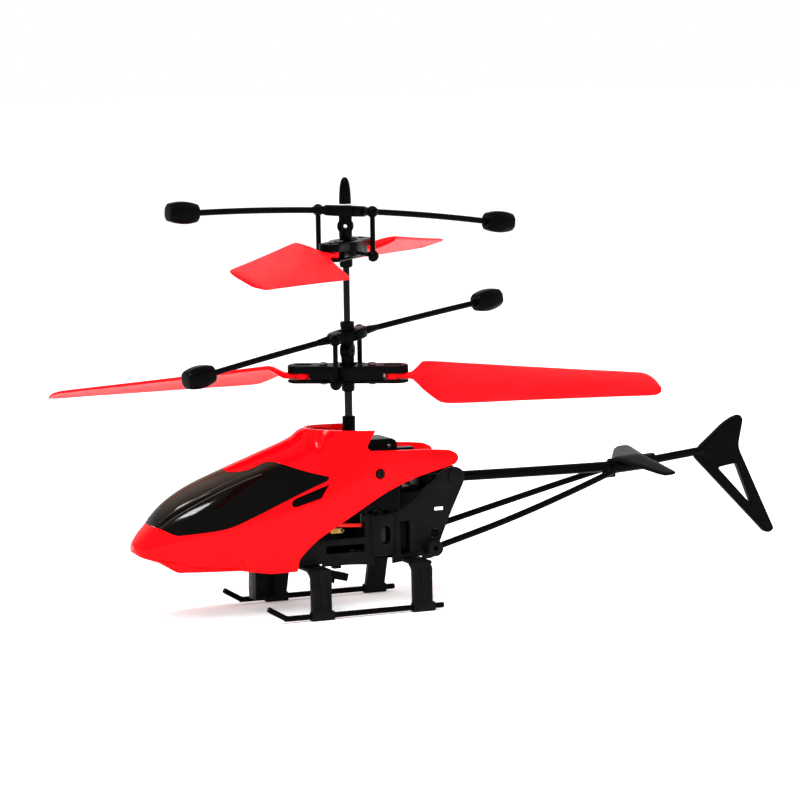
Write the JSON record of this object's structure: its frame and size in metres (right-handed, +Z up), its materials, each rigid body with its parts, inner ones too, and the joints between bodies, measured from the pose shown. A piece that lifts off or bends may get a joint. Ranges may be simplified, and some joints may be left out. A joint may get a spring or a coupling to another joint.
{
  "type": "remote control helicopter",
  "caption": "Toy helicopter with stacked counter-rotating rotors, each with a flybar, linked blade grip and folding blades, on a geared mast with a canopy, skids and tail fin.",
  "frame": {"origin": "ground level, at the middle of the whole model's footprint", "axes": "+X towards the tail, nose towards -X; +Z up; -Y is the aircraft's left side"},
  "size_m": [0.1702, 0.1157, 0.0985],
  "materials": {
    "red_shell": "glossy saturated red",
    "smoked_window": "glossy smoked brown-black",
    "red_blade": "semi-matte translucent red",
    "black_plastic": "satin black",
    "dark_metal": "dark satin steel",
    "screw_steel": "satin",
    "motor_steel": "brushed can",
    "white_nylon": "satin",
    "brass": "machined",
    "battery_foil": "satin foil",
    "circuit_green": "solder mask",
    "red_wire": "satin"
  },
  "bodies": {
    "fuselage": {"body_shell": "red_shell", "windshield": "smoked_window", "left_vent_grille": "black_plastic", "right_vent_grille": "black_plastic", "left_shell_screw": "dark_metal", "right_shell_screw": "dark_metal", "left_side_plate": "black_plastic", "right_side_plate": "black_plastic", "belly_tray": "black_plastic", "gear_case": "black_plastic", "mast_collar": "black_plastic", "left_motor": "motor_steel", "right_motor": "motor_steel", "battery": "battery_foil", "circuit_board": "circuit_green", "power_switch": "black_plastic", "charge_socket": "black_plastic", "ground_sensor": "black_plastic", "red_motor_wire": "red_wire", "tail_boom": "black_plastic", "left_tail_brace": "black_plastic", "right_tail_brace": "black_plastic", "tail_stabiliser": "black_plastic", "tail_fin": "black_plastic", "front_landing_legs": "black_plastic", "rear_landing_legs": "black_plastic", "left_skid": "black_plastic", "right_skid": "black_plastic"},
    "lower_rotor": {"outer_shaft": "dark_metal", "outer_shaft_gear": "white_nylon", "lower_rotor_hub": "black_plastic"},
    "upper_rotor": {"inner_shaft": "dark_metal", "inner_shaft_gear": "white_nylon", "upper_rotor_hub": "black_plastic", "mast_cap": "black_plastic"},
    "left_motor_shaft": {"left_pinion": "brass"},
    "right_motor_shaft": {"right_pinion": "brass"},
    "switch_knob": {"switch_slider": "black_plastic"},
    "lower_flybar_assembly": {"lower_flybar": "black_plastic", "lower_flybar_weight_a": "black_plastic", "lower_flybar_weight_b": "black_plastic"},
    "lower_grip_assembly": {"lower_blade_grip": "black_plastic", "lower_grip_plate": "black_plastic", "lower_grip_screw_a": "screw_steel", "lower_grip_screw_b": "screw_steel"},
    "lower_blade_a_body": {"lower_blade_a": "red_blade"},
    "lower_link_a_body": {"lower_link_a": "black_plastic"},
    "lower_blade_b_body": {"lower_blade_b": "red_blade"},
    "lower_link_b_body": {"lower_link_b": "black_plastic"},
    "upper_flybar_assembly": {"upper_flybar": "black_plastic", "upper_flybar_weight_a": "black_plastic", "upper_flybar_weight_b": "black_plastic"},
    "upper_grip_assembly": {"upper_blade_grip": "black_plastic", "upper_grip_plate": "black_plastic", "upper_grip_screw_a": "screw_steel", "upper_grip_screw_b": "screw_steel"},
    "upper_blade_a_body": {"upper_blade_a": "red_blade"},
    "upper_link_a_body": {"upper_link_a": "black_plastic"},
    "upper_blade_b_body": {"upper_blade_b": "red_blade"},
    "upper_link_b_body": {"upper_link_b": "black_plastic"}
  },
  "joints": [
    {"name": "lower_rotor_spin", "type": "hinge", "parent": "fuselage", "child": "lower_rotor", "pos_m": [-0.0263, 0, 0.045], "axis": [0, 0, 1], "continuous": true},
    {"name": "upper_rotor_spin", "type": "hinge", "parent": "fuselage", "child": "upper_rotor", "pos_m": [-0.0263, 0, 0.045], "axis": [0, 0, 1], "continuous": true},
    {"name": "left_motor_spin", "type": "hinge", "parent": "fuselage", "child": "left_motor_shaft", "pos_m": [-0.0213, -0.00453, 0.025], "axis": [0, 0, 1], "continuous": true},
    {"name": "right_motor_spin", "type": "hinge", "parent": "fuselage", "child": "right_motor_shaft", "pos_m": [-0.0213, 0.00453, 0.025], "axis": [0, 0, 1], "continuous": true},
    {"name": "lower_flybar_teeter", "type": "hinge", "parent": "lower_rotor", "child": "lower_flybar_assembly", "pos_m": [-0.0263, 0, 0.06255], "axis": [0.2284, -0.9736, 0], "range_deg": [-19.5, 2.5]},
    {"name": "lower_grip_feather", "type": "hinge", "parent": "lower_rotor", "child": "lower_grip_assembly", "pos_m": [-0.0263, 0, 0.0539], "axis": [0.8678, -0.497, 0], "range_deg": [-18.4, 2.4]},
    {"name": "lower_link_a_lift", "type": "slide", "parent": "lower_rotor", "child": "lower_link_a_body", "axis": [0, 0, 1], "range_m": [-0.00187, 0.00025]},
    {"name": "lower_link_b_lift", "type": "slide", "parent": "lower_rotor", "child": "lower_link_b_body", "axis": [0, 0, 1], "range_m": [-0.00025, 0.00187]},
    {"name": "lower_blade_a_fold", "type": "hinge", "parent": "lower_grip_assembly", "child": "lower_blade_a_body", "pos_m": [-0.01736, -0.00512, 0.0539], "axis": [-0.0442, -0.0771, 0.996], "range_deg": [-85, 15]},
    {"name": "lower_blade_b_fold", "type": "hinge", "parent": "lower_grip_assembly", "child": "lower_blade_b_body", "pos_m": [-0.03524, 0.00512, 0.0539], "axis": [-0.0442, -0.0771, 0.996], "range_deg": [-85, 15]},
    {"name": "upper_flybar_teeter", "type": "hinge", "parent": "upper_rotor", "child": "upper_flybar_assembly", "pos_m": [-0.0263, 0, 0.0909], "axis": [0.1097, -0.994, 0], "range_deg": [-7.2, 14.8]},
    {"name": "upper_grip_feather", "type": "hinge", "parent": "upper_rotor", "child": "upper_grip_assembly", "pos_m": [-0.0263, 0, 0.08225], "axis": [0.6521, 0.7581, 0], "range_deg": [-14, 6.8]},
    {"name": "upper_link_a_lift", "type": "slide", "parent": "upper_rotor", "child": "upper_link_a_body", "axis": [0, 0, 1], "range_m": [-0.0007, 0.00142]},
    {"name": "upper_link_b_lift", "type": "slide", "parent": "upper_rotor", "child": "upper_link_b_body", "axis": [0, 0, 1], "range_m": [-0.00142, 0.0007]},
    {"name": "upper_blade_a_fold", "type": "hinge", "parent": "upper_grip_assembly", "child": "upper_blade_a_body", "pos_m": [-0.01958, 0.00781, 0.08225], "axis": [0.0384, -0.033, 0.9987], "range_deg": [-15, 85]},
    {"name": "upper_blade_b_fold", "type": "hinge", "parent": "upper_grip_assembly", "child": "upper_blade_b_body", "pos_m": [-0.03302, -0.00781, 0.08225], "axis": [0.0384, -0.033, 0.9987], "range_deg": [-15, 85]},
    {"name": "power_switch_slide", "type": "slide", "parent": "fuselage", "child": "switch_knob", "axis": [0.9703, 0, -0.2419], "range_m": [0, 0.0017]}
  ],
  "couplings": [
    {"joint": "left_motor_spin", "follows": "lower_rotor_spin", "ratio": -4},
    {"joint": "right_motor_spin", "follows": "upper_rotor_spin", "ratio": -4},
    {"joint": "lower_grip_feather", "follows": "lower_flybar_teeter", "ratio": 0.94098},
    {"joint": "lower_link_a_lift", "follows": "lower_flybar_teeter", "m_per_rad": 0.005464},
    {"joint": "lower_link_b_lift", "follows": "lower_flybar_teeter", "m_per_rad": -0.005464},
    {"joint": "upper_grip_feather", "follows": "upper_flybar_teeter", "ratio": -0.94098},
    {"joint": "upper_link_a_lift", "follows": "upper_flybar_teeter", "m_per_rad": 0.005464},
    {"joint": "upper_link_b_lift", "follows": "upper_flybar_teeter", "m_per_rad": -0.005464}
  ]
}
